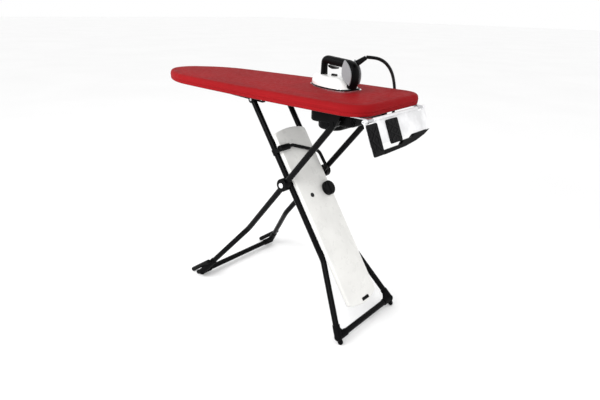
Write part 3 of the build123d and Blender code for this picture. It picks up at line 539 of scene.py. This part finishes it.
def sole_ring(bm, inset, height, back=0.0):
    """The sole outline drawn in by inset, its heel by a little more, at one height."""
    points = SOLE_SIDE + [(along, -across) for along, across in reversed(SOLE_SIDE[1:-1])]
    middle, ring = 0.54 * IRON_LENGTH, []
    for along, across in points:
        x = middle + (along - 0.54) * (IRON_LENGTH - 2 * inset)
        x -= back * max(0.0, along - 0.54) / 0.46
        ring.append(bm.verts.new(on_iron(x, (IRON_HALF - inset) * across, height)))
    return ring


def make_iron_shell():
    """The iron's white dome: full sides that turn over into a flat crown."""
    bm = bmesh.new()
    rings = []
    for i in range(15):
        turn = math.pi / 2 * i / 14
        height = SKIRT_TOP + (SHELL_TOP - SKIRT_TOP) * math.sin(turn)
        inset = 0.0045 + 0.031 * (1 - math.cos(turn)) ** 1.15
        rings.append(sole_ring(bm, inset, height, back=0.006 + 0.022 * math.sin(turn)))
    bridged(bm, rings)
    bm.faces.new(rings[0])
    crown = bm.verts.new(on_iron(0.54 * IRON_LENGTH, 0, SHELL_TOP + 0.0004))
    for i, corner in enumerate(rings[-1]):
        bm.faces.new((rings[-1][i - 1], corner, crown))
    shell = object_from("iron_dome", bm, "iron_white", "iron", 60)
    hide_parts("iron_shell")


def slot_of(node):
    """The record's material slot of a piece."""
    return next(entry["material_slot"] for entry in frame["record"]["subparts"]
                if entry["node"] == node)


# the handle's middle line, in the iron's own side view: along, up, half width, half depth
HANDLE_LINE = [(0.205, 0.013, 0.0200, 0.0135), (0.2115, 0.030, 0.0200, 0.0130),
               (0.2135, 0.048, 0.0195, 0.0125), (0.2115, 0.065, 0.0190, 0.0130),
               (0.204, 0.0795, 0.0180, 0.0140), (0.190, 0.0855, 0.0165, 0.0145),
               (0.172, 0.0868, 0.0150, 0.0148), (0.150, 0.0880, 0.0143, 0.0148),
               (0.125, 0.0895, 0.0140, 0.0148), (0.100, 0.0912, 0.0138, 0.0146),
               (0.080, 0.0922, 0.0136, 0.0140), (0.0685, 0.0875, 0.0132, 0.0105),
               (0.0655, 0.0750, 0.0130, 0.0092), (0.0650, 0.0600, 0.0132, 0.0090),
               (0.0648, 0.0450, 0.0138, 0.0096), (0.0648, 0.0300, 0.0146, 0.0105)]


def curve_through(rows, steps):
    """Even Catmull-Rom points through rows of numbers."""
    rows = [Vector(row) for row in rows]
    rows = [rows[0] * 2 - rows[1]] + rows + [rows[-1] * 2 - rows[-2]]
    points = []
    for a, b, c, d in zip(rows, rows[1:], rows[2:], rows[3:]):
        for i in range(steps):
            t = i / steps
            points.append(0.5 * (2 * b + (c - a) * t + (2 * a - 5 * b + 4 * c - d) * t ** 2
                                 + (3 * b - a - 3 * c + d) * t ** 3))
    return points + [rows[-2]]


def make_handle():
    """One swept handle: a bowed rear post, a ribbed grip and a short front post."""
    line = curve_through(HANDLE_LINE, 8)
    bm = bmesh.new()
    rings = []
    for i, row in enumerate(line):
        before, after = line[max(i - 1, 0)], line[min(i + 1, len(line) - 1)]
        along = Vector((after.x - before.x, after.y - before.y)).normalized()
        across = Vector((-along.y, along.x))
        grip = 0.092 < row.x < 0.176 and row.y > 0.08
        rib = 0.00045 * math.sin(row.x / 0.0035 * math.pi) if grip else 0
        ring = []
        for k in range(32):
            turn = 2 * math.pi * k / 32
            wide = abs(math.cos(turn)) ** 0.8 * math.copysign(1, math.cos(turn))
            deep = abs(math.sin(turn)) ** 0.8 * math.copysign(1, math.sin(turn))
            side = across * deep * (row.w - 0.0005 + rib)
            ring.append(bm.verts.new(on_iron(row.x + side.x, wide * (row.z - 0.0005 + rib),
                                             row.y + side.y)))
        rings.append(ring)
    bridged(bm, rings)
    bm.faces.new(rings[0])
    bm.faces.new(rings[-1])
    handle = object_from("iron_grip", bm, slot_of("iron_handle"), "iron", 50)
    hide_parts("iron_handle")


make_iron_shell()
make_handle()


# ======================================================================================
# Iron rest: crossed ribs on the two strips
# ======================================================================================
REST_SLOPE = math.radians(67.0)             # the rest hangs this far below the level
RIB_HALF, RIB_HEIGHT = 0.0022, 0.0011


def crossed_ribs(node, crosses):
    """Raised crosses on a strip's front face, in the strip's own slope."""
    low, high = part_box(node)
    corners = [nodes[node].matrix_world @ v.co for v in nodes[node].data.vertices]
    out = Vector((math.sin(REST_SLOPE), 0, math.cos(REST_SLOPE)))
    up = Vector((-math.cos(REST_SLOPE), 0, math.sin(REST_SLOPE)))
    front = max(corner.dot(out) for corner in corners)
    bottom, top = (f(corner.dot(up) for corner in corners) for f in (min, max))
    left, right = low.y + 0.008, high.y - 0.008
    bottom, top = bottom + 0.012, top - 0.012
    bm = bmesh.new()

    def place(y, along):
        return Vector((0, y, 0)) + up * along + out * front

    step = (top - bottom) / crosses
    for i in range(crosses):
        one, two = bottom + i * step, bottom + (i + 1) * step
        for start, end in ((place(left, one), place(right, two)),
                           (place(right, one), place(left, two))):
            along = (end - start).normalized()
            side = out.cross(along)
            rings = []
            for point in (start, end):
                ring = [bm.verts.new(point + side * math.cos(k * math.pi / 6) * RIB_HALF
                                     + out * (math.sin(k * math.pi / 6) * RIB_HEIGHT - 0.0002))
                        for k in range(7)]
                rings.append(ring)
            bridged(bm, rings)
            bm.faces.new(rings[0])
            bm.faces.new(rings[-1])
    object_from(node + "_ribs", bm, "silicone", "rest")


crossed_ribs("rest_strip_near", 2)
crossed_ribs("rest_strip_far", 2)


# ======================================================================================
# Studio
# ======================================================================================
def make_studio():
    bm = bmesh.new()
    bmesh.ops.create_grid(bm, x_segments=2, y_segments=2, size=40)
    mesh = bpy.data.meshes.new("floor")
    bm.to_mesh(mesh)
    bm.free()
    floor = bpy.data.objects.new("floor", mesh)
    floor.location.z = -0.0005
    scene.collection.objects.link(floor)
    s = Shader("floor")
    s.link(s.mix(s.spread(s.noise(0.8, 2), 0, 1), (0.95, 0.95, 0.95), (0.97, 0.97, 0.97)),
           s.principled.inputs["Base Color"])
    s.set(Roughness=0.9)
    s.principled.inputs["Specular IOR Level"].default_value = 0.1
    mesh.materials.append(s.material)

    world = bpy.data.worlds.new("studio")
    world.use_nodes = True
    world.node_tree.nodes["Background"].inputs["Color"].default_value = (1, 1, 1, 1)
    world.node_tree.nodes["Background"].inputs["Strength"].default_value = 1.0
    scene.world = world

    def softbox(name, place, target, size, power):
        data = bpy.data.lights.new(name, "AREA")
        data.shape, data.size, data.size_y = "RECTANGLE", size[0], size[1]
        data.energy = power
        lamp = bpy.data.objects.new(name, data)
        lamp.location = place
        lamp.rotation_mode = "QUATERNION"
        lamp.rotation_quaternion = (target - Vector(place)).to_track_quat("-Z", "Y")
        scene.collection.objects.link(lamp)

    centre = Vector((0, 0, 0.5))
    softbox("key", (1.6, -2.2, 2.2), centre, (0.5, 1.6), 24)
    softbox("strip", (-0.6, -1.9, 1.6), centre, (2.4, 0.16), 34)
    scene.view_settings.view_transform = "Standard"
    scene.view_settings.look = "None"


make_studio()
